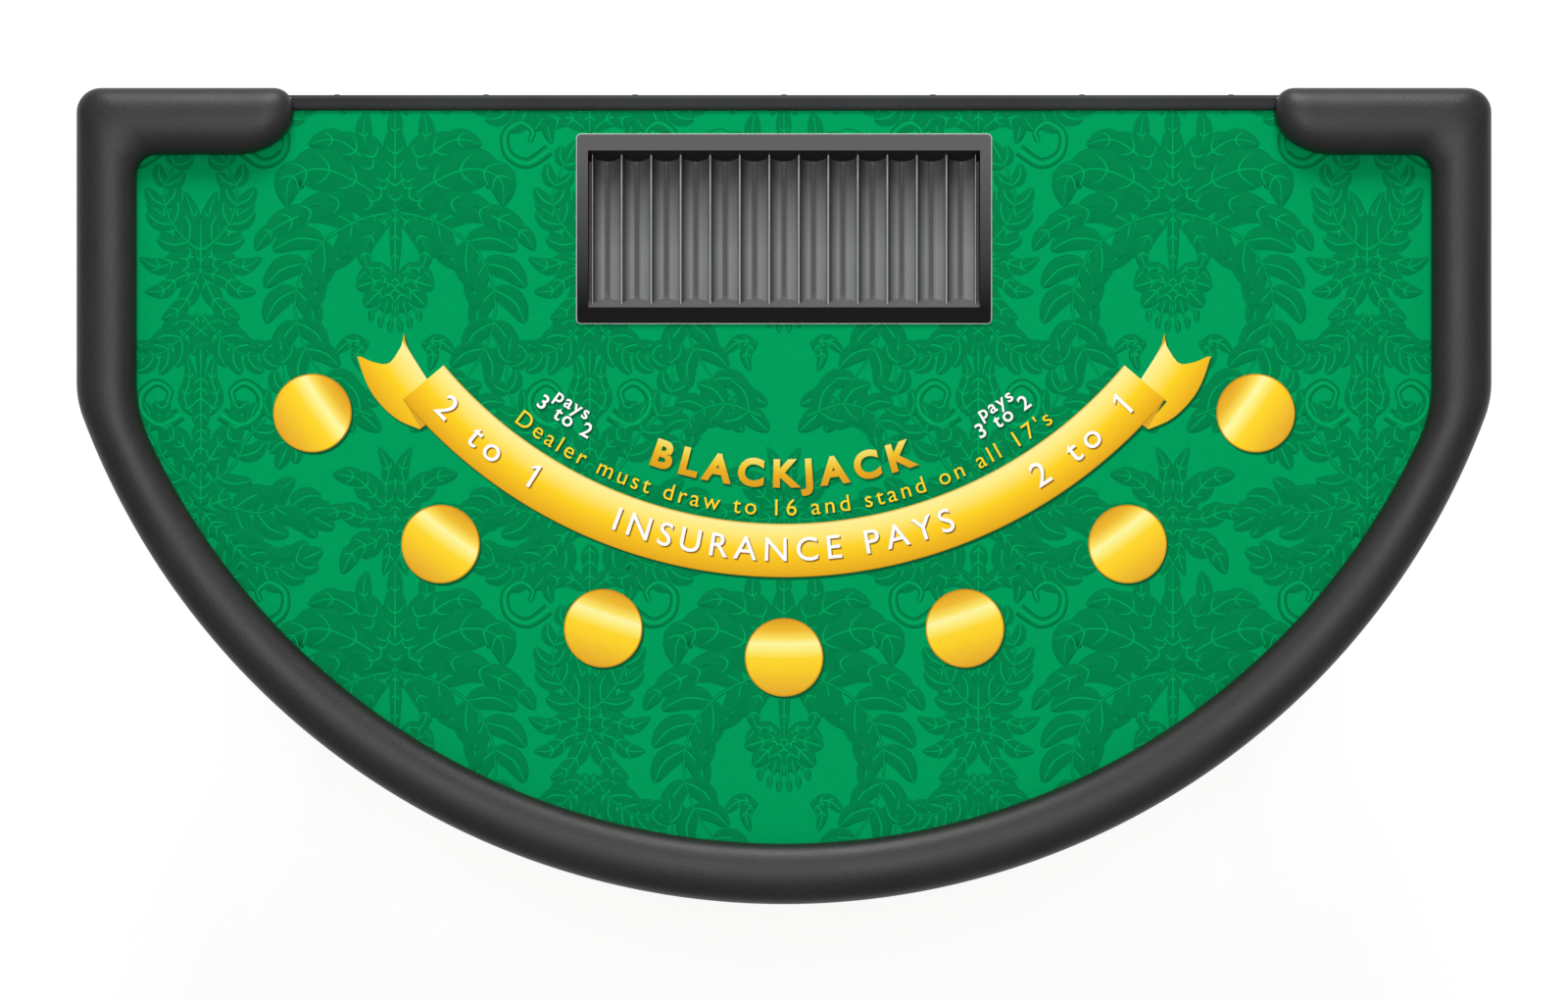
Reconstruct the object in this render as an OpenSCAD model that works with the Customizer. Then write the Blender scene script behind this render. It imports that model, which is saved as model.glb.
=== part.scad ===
// Blackjack table: a D-shaped playing top with a padded armrest, a lift-out chip tray
// and two steel leg frames that fold flat under the top.
// The origin is on the floor under the middle of the top. +Y points to the dealer's
// straight edge, -Y to the players' curved edge, and +Z is up. Sizes are in millimetres.

/* [Table top] */
// Overall width over the armrest
table_w = 2080; // [2060:10:2100]
// Overall depth from the dealer's edge to the front of the curve
table_d = 1200; // [1180:10:1210]
// Height of the playing surface above the floor
play_h = 762; // [755:1:770]
// Radius of the curved front edge
front_r = 1100; // [1090:5:1120]
// Radius of the bend where each straight side meets the front curve
bend_r = 150; // [100:10:200]
// Radius of the two corners on the dealer's side
corner_r = 36; // [34:1:50]
// Thickness of the plywood deck
deck_t = 18; // [15:1:20]
// Thickness of the foam underlay
underlay_t = 4; // [3:0.5:5]
// Thickness of the printed layout cloth
cloth_t = 2; // [1.5:0.5:3]

/* [Armrest] */
// Width of the armrest along the two sides
rail_w = 88; // [84:1:92]
// Width of the armrest at the middle of the front
rail_front_w = 89; // [85:1:92]
// Radius of the armrest's inner edge along the front
rail_inner_r = 1030; // [1020:5:1040]
// Depth of the two returns on the dealer's side
return_d = 98; // [92:1:104]
// Distance from the middle of the table to the tip of each return
return_tip_x = 722; // [700:1:760]
// Height of the armrest's crown above the cloth
rail_h = 44; // [40:1:48]
// Thickness of the vinyl cover
cover_t = 1.2; // [1:0.1:2]
// Thickness of the plywood base inside the armrest
rail_base_t = 18; // [15:1:20]

/* [Chip tray] */
// Number of chip tubes
tube_count = 13; // [11:2:13]
// Distance between the tubes' centre lines
tube_pitch = 43.6; // [42:0.1:43.6]
// Inside radius of a tube
tube_r = 20.75; // [20:0.05:20.75]
// Width of the tray opening
tray_w = 578; // [578:1:580]
// Depth of the tray opening
tray_d = 231; // [225:1:235]
// Distance from the middle of the table to the middle of the tray, towards the dealer
tray_y = 393.6; // [385:0.1:400]
// Drop from the cloth to the top edge of the tubes
tube_drop = 12; // [10:1:13]

/* [Legs] */
// Distance from the middle of the table to each folding hinge
leg_x = 715; // [712:1:718]
// Height of the hinge axis
hinge_z = 698; // [696:1:700]
// Front and back leg posts, measured from the middle of the table
post_y = [-200, 420];
// Radius of a leg post
post_r = 15; // [14:0.5:15.5]
// Radius of the tube that turns in the hinge blocks
hinge_tube_r = 17; // [16.5:0.5:17.5]
// Radius of the two cross bars of a leg frame
bar_r = 12; // [10:0.5:12.5]
// Wall of all the steel tubes
tube_wall = 1.5; // [1.2:0.1:2]
// Distance from the hinge to the bar that carries the folding stay
stay_bar_drop = 190; // [185:5:200]
// Distance from the hinge to the lower bar
foot_bar_drop = 560; // [500:10:580]
// Height of the perimeter boards under the deck
apron_h = 70; // [66:1:80]

/* [Hidden] */
$fn = 64;

// Levels of the top's layers
half_w = table_w / 2;
half_d = table_d / 2;
deck_top = play_h - cloth_t - underlay_t;
deck_z = deck_top - deck_t;
deck_inset = 14;      // the deck's edge stands back under the armrest
apron_inset = 45;     // from the armrest's outer edge to the face of the perimeter boards
apron_t = 15;
apron_z = deck_z - apron_h;

// Plan of the outer edge: front curve, side bend, side, back corner
front_c = [0, front_r - half_d];
bend_c = [half_w - bend_r, front_c[1] - sqrt(pow(front_r - bend_r, 2) - pow(half_w - bend_r, 2))];
bend_a = atan2(bend_c[1] - front_c[1], bend_c[0]);
corner_c = [half_w - corner_r, half_d - corner_r];

// Plan of the armrest's inner edge and of the rounded tip of its return
inner_w = half_w - rail_w;
inner_bend_r = 200;
inner_corner_r = 30;
inner_front_c = [0, rail_inner_r + rail_front_w - half_d];
inner_bend_c = [inner_w - inner_bend_r,
    inner_front_c[1] - sqrt(pow(rail_inner_r - inner_bend_r, 2) - pow(inner_w - inner_bend_r, 2))];
inner_bend_a = atan2(inner_bend_c[1] - inner_front_c[1], inner_bend_c[0]);
inner_corner_c = [inner_w - inner_corner_r, half_d - return_d - inner_corner_r];
tip_r = 28;
tip_c = [return_tip_x + tip_r, half_d - tip_r];
nose = [86, 60];      // half axes of the return's rounded nose
nose_c = [return_tip_x + nose[0], half_d - return_d + nose[1]];

function arc(c, r, a0, a1, n) = [for (i = [0:n]) let (a = a0 + (a1 - a0) * i / n) c + r * [cos(a), sin(a)]];
function oval_arc(c, r, a0, a1, n) =
    [for (i = [0:n]) let (a = a0 + (a1 - a0) * i / n) c + [r[0] * cos(a), r[1] * sin(a)]];
function mirrored(p) = [for (i = [len(p) - 1:-1:0]) [-p[i][0], p[i][1]]];

// The table's outline, drawn in by d
function half_outline(d) = let (c = corner_r - d) concat(
    arc(front_c, front_r - d, -90, bend_a, 20),
    arc(bend_c, bend_r - d, bend_a, 0, 4),
    c > 1 ? arc(corner_c, c, 0, 90, 6) : [[half_w - d, half_d - d]]);
function outline(d) = concat(half_outline(d), mirrored(half_outline(d)));

// The armrest's C-shaped plan, drawn in by d from every edge
function half_rail(d) = concat(
    arc(front_c, front_r - d, -90, bend_a, 20),
    arc(bend_c, bend_r - d, bend_a, 0, 4),
    arc(corner_c, corner_r - d, 0, 90, 4),
    arc(tip_c, max(tip_r - d, 1), 90, 180, 3),
    oval_arc(nose_c, nose - [d, d], 180, 270, 5),
    arc(inner_corner_c, inner_corner_r + d, 90, 0, 3),
    arc(inner_bend_c, inner_bend_r + d, 0, inner_bend_a, 4),
    arc(inner_front_c, rail_inner_r + d, inner_bend_a, -90, 20));
function rail_plan(d) = concat(half_rail(d), mirrored(half_rail(d)));

// The armrest's section: straight sides up to rail_waist, then an oval crown in steps
rail_waist = 16;
rail_levels = [0, rail_h / 2, rail_h * 0.75, rail_h * 0.91, rail_h];
function rail_inset(z) = z < rail_waist ? 0
    : (rail_w / 2) * (1 - sqrt(1 - pow((z - rail_waist) / (rail_h - rail_waist), 2)));

module rail_stack(t) {
    for (k = [0:3]) {
        low = rail_levels[k];
        high = rail_levels[k + 1];
        inset = k == 0 ? 0 : rail_inset((low + high) / 2);
        translate([0, 0, play_h + (k == 0 ? 0 : low - t)])
            linear_extrude(high - low - (k == 0 ? t : 0)) polygon(rail_plan(inset + t));
    }
}

// Rectangle of the chip tray's cut-out, grown by g, through z0 to z1
module tray_block(g, z0, z1) {
    translate([-tray_w / 2 - g, tray_y - tray_d / 2 - g, z0])
        cube([tray_w + 2 * g, tray_d + 2 * g, z1 - z0]);
}

// Armrest bolts, standing inside the perimeter boards
bolt_inset = 72;
bolt_r = 4;
bolt_places = concat(
    arc(front_c, front_r - bolt_inset, -144, -36, 8),
    [for (s = [-1, 1], y = [310, 440]) [s * (half_w - bolt_inset), y]],
    [for (s = [-1, 1]) [s * 860, half_d - bolt_inset]]);
module at_bolts() {
    for (p = bolt_places) translate([p[0], p[1], 0]) children();
}
module bolt_holes(z0, z1) {
    at_bolts() translate([0, 0, z0]) cylinder(r = bolt_r + 0.2, h = z1 - z0);
}

// ---------------------------------------------------------------- table top

cutout_gap = 4;       // from the tray opening to the edge of the cut-out

module top_layer(z0, z1) {
    difference() {
        translate([0, 0, z0]) linear_extrude(z1 - z0) polygon(outline(deck_inset));
        tray_block(cutout_gap, z0 - 1, z1 + 1);
        bolt_holes(z0 - 1, z1 + 1);
    }
}
module deck() {
    color("burlywood") difference() {
        top_layer(deck_z, deck_top);
        for (x = trim_screw_x) translate([x, trim_back_y, trim_screw_z])
            rotate([90, 0, 0]) cylinder(r = 2.05, h = 24.5);
        for (s = [-1, 1], p = bracket_screw_places) translate([s * p[0], p[1], deck_z - 1]) cylinder(r = 2.55, h = p[2]);
    }
}
module underlay() { color("dimgray") top_layer(deck_top, play_h - cloth_t); }
module layout_cloth() { color("seagreen") top_layer(play_h - cloth_t, play_h); }

rail_base_inset = 5;
bolt_bite = 14;       // how far a bolt enters the armrest's base

module rail_base_solid() {
    translate([0, 0, play_h]) linear_extrude(rail_base_t) polygon(rail_plan(rail_base_inset));
}
module rail_base() {
    color("burlywood") difference() {
        rail_base_solid();
        bolt_holes(play_h - 1, play_h + bolt_bite);
    }
}
module rail_foam() {
    color("khaki") difference() {
        rail_stack(cover_t);
        rail_base_solid();
    }
}
module rail_cover() {
    color("#2a2829") difference() {
        rail_stack(0);
        rail_stack(cover_t);
    }
}

washer_t = 1.6;
bolt_head_h = 5.5;
module rail_washers() {
    color("silver") at_bolts() translate([0, 0, deck_z - washer_t]) difference() {
        cylinder(r = 9, h = washer_t);
        translate([0, 0, -1]) cylinder(r = bolt_r + 0.2, h = washer_t + 2);
    }
}
module rail_bolts() {
    color("silver") at_bolts() union() {
        translate([0, 0, deck_z - washer_t - bolt_head_h]) cylinder(r = 7.5, h = bolt_head_h, $fn = 6);
        translate([0, 0, deck_z - washer_t]) cylinder(r = bolt_r, h = play_h + bolt_bite - 1 - deck_z + washer_t);
    }
}

// Edge strip on the dealer's side: a flange on the cloth and a lip down the deck's edge
trim_back_y = 590.8;
trim_front_y = 567.6;
trim_top = 5;         // above the cloth
trim_lip_z = deck_z + 2;
module trim_profile() {
    deck_back = half_d - deck_inset;
    polygon([[trim_front_y, play_h], [trim_front_y + 2, play_h + trim_top - 1], [trim_front_y + 6, play_h + trim_top],
        [trim_back_y - 5, play_h + trim_top], [trim_back_y - 1, play_h + trim_top - 2], [trim_back_y, play_h],
        [trim_back_y, trim_lip_z], [deck_back, trim_lip_z], [deck_back, play_h]]);
}
module dealer_trim() {
    run = 2 * (return_tip_x + tip_r);
    color("#2e3030") difference() {
        translate([-run / 2, 0, 0]) rotate([90, 0, 90]) linear_extrude(run) trim_profile();
        translate([0, 0, deck_z - 1]) linear_extrude(deck_t + 50) polygon(rail_plan(0));
        for (x = trim_screw_x) translate([x, trim_back_y + 1, trim_screw_z])
            rotate([90, 0, 0]) cylinder(r = 2.1, h = 12);
    }
}
trim_screw_x = [for (i = [-3:3]) i * 220];
trim_screw_z = deck_z + deck_t / 2 + 2;
module trim_screws() {
    color("gray") for (x = trim_screw_x) translate([x, trim_back_y, trim_screw_z]) union() {
        rotate([-90, 0, 0]) cylinder(r = 4, h = 1.8);
        rotate([90, 0, 0]) cylinder(r = 2, h = 24);
    }
}

// ---------------------------------------------------------------- perimeter boards

module apron_ring() {
    translate([0, 0, apron_z]) linear_extrude(apron_h) difference() {
        polygon(outline(apron_inset));
        polygon(outline(apron_inset + apron_t));
    }
}
// A wedge of the plan from angle a0 to a1 about the front curve's centre
module plan_wedge(a0, a1) {
    far = front_r * 1.4;
    translate([0, 0, apron_z - 1]) linear_extrude(apron_h + 2)
        polygon(concat([front_c], arc(front_c, far, a0, a1, 6)));
}
back_joint_y = half_d - apron_inset - apron_t;
side_joint_y = bend_c[1];
side_in = half_w - apron_inset - apron_t;
front_joint_a = [-180 - bend_a, -112, -68, bend_a];

module apron_back() {
    color("#3a2c22") translate([-side_in, back_joint_y, apron_z]) cube([2 * side_in, apron_t, apron_h]);
}
module apron_side(s) {
    color("#3a2c22") translate([s > 0 ? side_in : -side_in - apron_t, side_joint_y, apron_z])
        cube([apron_t, back_joint_y + apron_t - side_joint_y, apron_h]);
}
// The three front boards lie between the two side joints; the outer two take in the side bends
module apron_front(k) {
    color("#3a2c22") intersection() {
        apron_ring();
        translate([-half_w, -half_d, apron_z - 1]) cube([table_w, half_d + side_joint_y, apron_h + 2]);
        plan_wedge(k == 0 ? -200 : front_joint_a[k], k == 2 ? 20 : front_joint_a[k + 1]);
    }
}
// Glue blocks behind every joint between two boards
block = [60, 22, 50];
module joint_block(p, a) {
    translate([p[0], p[1], deck_z - block[2]]) rotate(a) translate([-block[0] / 2, 0, 0]) cube(block);
}
module apron_blocks() {
    color("tan") for (s = [-1, 1]) {
        joint_block([s * (side_in - block[0] / 2), back_joint_y - block[1]], 0);
        joint_block([s * side_in, side_joint_y + 40], s > 0 ? 90 : -90);
        joint_block(front_c + (front_r - apron_inset - apron_t - 1) * [s * sin(22), -cos(22)], s * 22);
    }
}

// Battens glued under the deck round the tray's cut-out
batten = [24, 20];    // width and depth
module well_frame() {
    gap = cutout_gap;
    z0 = deck_z - batten[1];
    color("tan") {
        for (s = [-1, 1]) {
            translate([-tray_w / 2 - gap - batten[0], tray_y + s * (tray_d / 2 + gap) - (s < 0 ? batten[0] : 0), z0])
                cube([tray_w + 2 * gap + 2 * batten[0], batten[0], batten[1]]);
            translate([s * (tray_w / 2 + gap) - (s < 0 ? batten[0] : 0), tray_y - tray_d / 2 - gap, z0])
                cube([batten[0], tray_d + 2 * gap, batten[1]]);
        }
    }
}

// ---------------------------------------------------------------- chip tray

bezel_w = [16, 23.4]; // flange width at the sides, and at the front and back
bezel_t = 4;
bezel_r = 6;
lip_t = 1.4;
pan_wall = 1.5;
crest_z = play_h - tube_drop;
tube_wall_t = 1;
pan_floor_z = crest_z - tube_r - tube_wall_t - 0.2;
slot_w = 4.4;
end_foot = 14;        // how far a sloped end plate reaches in at the foot

module rounded_plate(w, d, r, h) {
    linear_extrude(h) union() {
        square([w - 2 * r, d], center = true);
        square([w, d - 2 * r], center = true);
        for (x = [-1, 1], y = [-1, 1]) translate([x * (w / 2 - r), y * (d / 2 - r)]) circle(r = r);
    }
}
module bezel_plate(grow, h) {
    translate([0, tray_y, play_h])
        rounded_plate(tray_w + 2 * bezel_w[0] + 2 * grow, tray_d + 2 * bezel_w[1] + 2 * grow, bezel_r + grow, h);
}
module tray_bezel() {
    color("#3c3c3d") difference() {
        bezel_plate(0, bezel_t);
        tray_block(0, play_h - 1, play_h + bezel_t + 1);
    }
}
module tray_bezel_lip() {
    color("silver") difference() {
        bezel_plate(lip_t, bezel_t - 1.5);
        translate([0, 0, -1]) bezel_plate(0, bezel_t + 2);
    }
}
module tray_pan() {
    color("#4a4a4b") difference() {
        tray_block(pan_wall, pan_floor_z - pan_wall, play_h);
        tray_block(0, pan_floor_z, play_h + 1);
    }
}
// Cross-section of an end plate, y measured from the opening's edge and growing inwards
module end_wedge(s, over) {
    translate([-tray_w / 2, tray_y - s * tray_d / 2, 0]) rotate([90, 0, 90]) linear_extrude(tray_w)
        polygon([[-s * over, pan_floor_z - over], [s * end_foot, pan_floor_z - over], [s * end_foot, pan_floor_z],
            [s * 0.6, play_h], [-s * over, play_h]]);
}
module tray_end_front() { color("#4a4a4b") end_wedge(1, 0); }
module tray_end_back() { color("#4a4a4b") end_wedge(-1, 0); }

module tube_profile() {
    difference() {
        circle(r = tube_r + tube_wall_t);
        circle(r = tube_r);
        translate([-tube_pitch, 0]) square([2 * tube_pitch, tube_pitch]);
    }
}
module chip_tubes() {
    slot_end = end_foot + 6;
    color("#77797a") difference() {
        for (i = [0:tube_count - 1])
            translate([(i - (tube_count - 1) / 2) * tube_pitch, tray_y + tray_d / 2, crest_z]) difference() {
                rotate([90, 0, 0]) linear_extrude(tray_d) tube_profile();
                translate([-slot_w / 2, -tray_d + slot_end, -tube_r - 5]) cube([slot_w, tray_d - 2 * slot_end, 8]);
            }
        end_wedge(1, 1);
        end_wedge(-1, 1);
    }
}

// ---------------------------------------------------------------- folding legs
// Everything below is drawn for the right-hand frame and mirrored for the left

block_y = [post_y[0] + 60, post_y[1] - 60];
block_len = 30;
stay_y = (post_y[0] + post_y[1]) / 2;
cap_r = 19;           // rubber foot
cap_h = 32;
cap_floor = 6;
plug_t = 4;

// A cylinder along Y
module y_rod(x, y0, y1, z, r) {
    translate([x, y1, z]) rotate([90, 0, 0]) cylinder(r = r, h = y1 - y0);
}
// A flat bar with round eyes between two points of the XZ plane
module eye_bar(p, q, w, r) {
    d = q - p;
    translate(p) circle(r = r);
    translate(q) circle(r = r);
    translate(p) rotate(atan2(d[1], d[0])) translate([0, -w / 2]) square([norm(d), w]);
}
module xz_plate(y0, t) {
    translate([0, y0 + t, 0]) rotate([90, 0, 0]) linear_extrude(t) children();
}

module hinge_blocks() {
    flange = [104, 6];
    color("#26272a") for (y = block_y) difference() {
        union() {
            translate([leg_x - 21, y - block_len / 2, hinge_z]) cube([42, block_len, deck_z - hinge_z]);
            y_rod(leg_x, y - block_len / 2, y + block_len / 2, hinge_z, hinge_tube_r + 7);
            translate([leg_x - flange[0] / 2, y - block_len / 2, deck_z - flange[1]])
                cube([flange[0], block_len, flange[1]]);
        }
        y_rod(leg_x, y - block_len, y + block_len, hinge_z, hinge_tube_r + 0.08);
        for (s = [-1, 1]) translate([leg_x + s * screw_dx, y, deck_z - 10]) cylinder(r = 2.6, h = 12);
    }
}
screw_dx = 40;
module wood_screw(x, y, z) {
    translate([x, y, z]) union() {
        translate([0, 0, -2.4]) cylinder(r = 5, h = 2.4);
        cylinder(r = 2.5, h = 20);
    }
}
module bracket_screws() {
    color("silver") for (p = bracket_screw_places) wood_screw(p[0], p[1], deck_z - 20.5 + p[2] - 1);
}

module hinge_tube() {
    color("#26272a") difference() {
        y_rod(leg_x, post_y[0] - 20, post_y[1] + 20, hinge_z, hinge_tube_r);
        y_rod(leg_x, post_y[0] - 21, post_y[1] + 21, hinge_z, hinge_tube_r - tube_wall);
    }
}
module tube_plugs() {
    plug_r = hinge_tube_r - tube_wall - 0.1;
    color("black") for (s = [-1, 1]) {
        y_end = s < 0 ? post_y[0] - 20 : post_y[1] + 20;
        y_rod(leg_x, min(y_end, y_end + s * plug_t), max(y_end, y_end + s * plug_t), hinge_z, hinge_tube_r);
        y_rod(leg_x, min(y_end, y_end - s * 12), max(y_end, y_end - s * 12), hinge_z, plug_r);
    }
}
module post(k) {
    color("#26272a") difference() {
        translate([leg_x, post_y[k], cap_floor]) cylinder(r = post_r, h = hinge_z - cap_floor);
        translate([leg_x, post_y[k], 0]) cylinder(r = post_r - tube_wall, h = hinge_z);
        y_rod(leg_x, post_y[0] - 30, post_y[1] + 30, hinge_z, hinge_tube_r);
    }
}
module cross_bar(drop) {
    z = hinge_z - drop;
    color("#26272a") difference() {
        y_rod(leg_x, post_y[0], post_y[1], z, bar_r);
        y_rod(leg_x, post_y[0] - 1, post_y[1] + 1, z, bar_r - tube_wall);
        for (y = post_y) translate([leg_x, y, z - 40]) cylinder(r = post_r, h = 80);
    }
}
module feet() {
    color("#181818") for (y = post_y) translate([leg_x, y, 0]) difference() {
        cylinder(r = cap_r, h = cap_h);
        translate([0, 0, cap_floor]) cylinder(r = post_r + 0.05, h = cap_h);
    }
}

// The folding stay: stay_a on the deck, stay_b on the leg, and an elbow between them.
// Its two links lie in one line with the legs down and lie flat, one over the other, folded.
lug_reach = 22;
stay_span = 220;       // from the hinge to the stay's deck bracket
stay_a = [leg_x - stay_span, hinge_z + lug_reach];
stay_b = [leg_x - lug_reach, hinge_z - stay_bar_drop];
stay_b_folded = [leg_x - stay_bar_drop, hinge_z + lug_reach];
stay_open = norm(stay_b - stay_a);
stay_shut = norm(stay_b_folded - stay_a);
upper_len = (stay_open + stay_shut) / 2;
elbow = stay_a + upper_len * (stay_b - stay_a) / stay_open;

// Each screw's place and the depth of its pilot hole
bracket_screw_places = concat(
    [for (y = block_y, s = [-1, 1]) [leg_x + s * screw_dx, y, 15.5]],
    [for (s = [-1, 1]) [stay_a[0] + s * 20, stay_y + 20, 17.5]]);

link_t = 4;
link_w = 13;
eye_r = 8;
pin_r = 4;
upper_y = stay_y + 1;
lower_y = stay_y - link_t - 0.5;
bracket_y = upper_y + link_t + 0.5;
lug_y = lower_y - link_t - 0.5;

module stay_bracket() {
    color("silver") difference() {
        union() {
            xz_plate(bracket_y, link_t) {
                translate(stay_a) circle(r = 9);
                translate([stay_a[0] - 8.5, stay_a[1]]) square([17, deck_z - stay_a[1]]);
            }
            translate([stay_a[0] - 30, bracket_y, deck_z - link_t]) cube([60, 30, link_t]);
        }
        y_rod(stay_a[0], bracket_y - 5, bracket_y + link_t + 5, stay_a[1], pin_r);
        for (s = [-1, 1]) translate([stay_a[0] + s * 20, stay_y + 20, deck_z - 10]) cylinder(r = 2.6, h = 12);
    }
}
module stay_top_pin() {
    color("silver") union() {
        y_rod(stay_a[0], upper_y - 0.4, bracket_y + link_t, stay_a[1], pin_r - 0.05);
        y_rod(stay_a[0], bracket_y + link_t, bracket_y + link_t + 2.5, stay_a[1], 6.5);
    }
}
module upper_stay() {
    color("silver") xz_plate(upper_y, link_t) difference() {
        eye_bar(stay_a, elbow, link_w, eye_r);
        translate(stay_a) circle(r = pin_r + 0.04);
        translate(elbow) circle(r = pin_r);
    }
}
module elbow_rivet() {
    color("silver") union() {
        y_rod(elbow[0], upper_y, upper_y + link_t, elbow[1], pin_r - 0.02);
        y_rod(elbow[0], upper_y + link_t, upper_y + link_t + 2.5, elbow[1], 7);
    }
}
module lower_stay() {
    color("silver") union() {
        xz_plate(lower_y, link_t) difference() {
            eye_bar(stay_b, elbow, link_w, eye_r);
            translate(stay_b) circle(r = pin_r + 0.04);
        }
        y_rod(elbow[0], lower_y - 2.5, lower_y, elbow[1], 7);
    }
}
module stay_lug() {
    color("#26272a") difference() {
        xz_plate(lug_y, link_t) eye_bar([leg_x - 6, stay_b[1]], stay_b, 15, 9);
        y_rod(leg_x, lug_y - 5, lug_y + 10, stay_b[1], bar_r);
        y_rod(stay_b[0], lug_y - 5, lug_y + 10, stay_b[1], pin_r);
    }
}
module stay_bottom_pin() {
    color("silver") union() {
        y_rod(stay_b[0], lug_y, lower_y + link_t + 0.4, stay_b[1], pin_r - 0.05);
        y_rod(stay_b[0], lug_y - 2.5, lug_y, stay_b[1], 6.5);
    }
}

module leg_part(name) {
    if (name == "hinge_blocks") hinge_blocks();
    if (name == "bracket_screws") bracket_screws();
    if (name == "stay_bracket") stay_bracket();
    if (name == "stay_top_pin") stay_top_pin();
    if (name == "hinge_tube") hinge_tube();
    if (name == "front_post") post(0);
    if (name == "back_post") post(1);
    if (name == "stay_bar") cross_bar(stay_bar_drop);
    if (name == "foot_bar") cross_bar(foot_bar_drop);
    if (name == "tube_plugs") tube_plugs();
    if (name == "feet") feet();
    if (name == "stay_lug") stay_lug();
    if (name == "stay_bottom_pin") stay_bottom_pin();
    if (name == "upper_stay") upper_stay();
    if (name == "elbow_rivet") elbow_rivet();
    if (name == "lower_stay") lower_stay();
}
LEG_PARTS = ["hinge_blocks", "bracket_screws", "stay_bracket", "stay_top_pin", "hinge_tube", "front_post",
    "back_post", "stay_bar", "foot_bar", "tube_plugs", "feet", "stay_lug", "stay_bottom_pin", "upper_stay",
    "elbow_rivet", "lower_stay"];

deck();
underlay();
layout_cloth();
rail_base();
rail_foam();
rail_cover();
rail_bolts();
rail_washers();
dealer_trim();
trim_screws();
apron_back();
apron_side(-1);  // apron_left
apron_side(1);  // apron_right
apron_front(0);  // apron_front_left
apron_front(1);  // apron_front_centre
apron_front(2);  // apron_front_right
apron_blocks();
well_frame();
tray_bezel();
tray_bezel_lip();
tray_pan();
chip_tubes();
tray_end_front();
tray_end_back();
for (part = LEG_PARTS) {
    mirror([1, 0, 0]) leg_part(part);
    leg_part(part);
}
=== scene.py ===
import math
import bmesh
import bpy
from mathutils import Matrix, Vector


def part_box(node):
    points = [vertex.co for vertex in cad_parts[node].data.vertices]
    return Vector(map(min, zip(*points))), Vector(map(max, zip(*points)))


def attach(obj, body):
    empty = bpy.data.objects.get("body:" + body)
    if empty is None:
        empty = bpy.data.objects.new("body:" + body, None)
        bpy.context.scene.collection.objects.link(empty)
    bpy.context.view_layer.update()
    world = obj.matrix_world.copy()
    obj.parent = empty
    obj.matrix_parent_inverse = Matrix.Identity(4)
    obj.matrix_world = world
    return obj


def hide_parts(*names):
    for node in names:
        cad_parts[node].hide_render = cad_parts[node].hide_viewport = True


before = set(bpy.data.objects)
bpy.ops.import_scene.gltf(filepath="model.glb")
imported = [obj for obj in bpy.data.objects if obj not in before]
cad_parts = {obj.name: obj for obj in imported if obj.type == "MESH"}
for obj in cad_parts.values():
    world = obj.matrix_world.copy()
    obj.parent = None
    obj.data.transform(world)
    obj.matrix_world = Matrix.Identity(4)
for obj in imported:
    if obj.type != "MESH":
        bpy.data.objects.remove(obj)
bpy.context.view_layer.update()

# Camera straight above the cloth, with the dealer's side at the top of the picture
# and the whole table inside the frame with a pale margin.
CLOTH_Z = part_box("layout_cloth")[1][2]
FLOOR_Z = 0.0
VIEW_WIDTH, VIEW_SHIFT_Y = 2.311, -0.0058
view_camera = bpy.data.cameras.new("overhead")
view_camera.lens, view_camera.sensor_width = 100, 36
view_camera.clip_end = 60
camera_height = VIEW_WIDTH * view_camera.lens / view_camera.sensor_width
overhead = bpy.data.objects.new("overhead", view_camera)
overhead.location = (0, VIEW_SHIFT_Y, CLOTH_Z + camera_height)
bpy.context.collection.objects.link(overhead)
bpy.context.scene.camera = overhead
bpy.context.scene.view_settings.view_transform = "Standard"


def lamp(name, energy, size, place, target):
    """A square soft box at place, turned to face target."""
    light = bpy.data.lights.new(name, "AREA")
    light.energy, light.size = energy, size
    box = bpy.data.objects.new(name, light)
    box.location = place
    away = [p - t for p, t in zip(place, target)]
    flat = math.hypot(away[0], away[1])
    heading = math.atan2(away[1], away[0]) + math.pi / 2
    box.rotation_euler = (math.atan2(flat, away[2]), 0, heading)
    bpy.context.collection.objects.link(box)


table_middle = (0, 0, 0.76)
lamp("overhead_softbox", 212, 2.4, (0.0, 0.5, 9.0), table_middle)
lamp("key_behind_dealer", 780, 3.6, (0.0, 9.0, 6.0), table_middle)
world = bpy.data.worlds.new("pale_studio")
world.use_nodes = True
sky = world.node_tree.nodes["Background"]
sky.inputs["Color"].default_value = (1, 1, 1, 1)
sky.inputs["Strength"].default_value = 0.34
bpy.context.scene.world = world
bpy.ops.mesh.primitive_plane_add(size=60, location=(0, 0, FLOOR_Z - 0.002))
studio_floor = bpy.context.object
studio_floor.name = "studio_floor"
pale = bpy.data.materials.new("pale_floor")
pale.use_nodes = True
pale_shader = pale.node_tree.nodes["Principled BSDF"]
pale_shader.inputs["Base Color"].default_value = (0.25, 0.25, 0.25, 1)
pale_shader.inputs["Roughness"].default_value = 0.9
pale_shader.inputs["Specular IOR Level"].default_value = 0.0
pale_shader.inputs["Emission Color"].default_value = (1, 1, 1, 1)
pale_shader.inputs["Emission Strength"].default_value = 0.82
studio_floor.data.materials.append(pale)

# Deck: 18 mm birch plywood, cut to the D outline with the tray's opening sawn out.
# Its faces are bare, and its sawn edges and the armrest's base are painted black.


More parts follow.
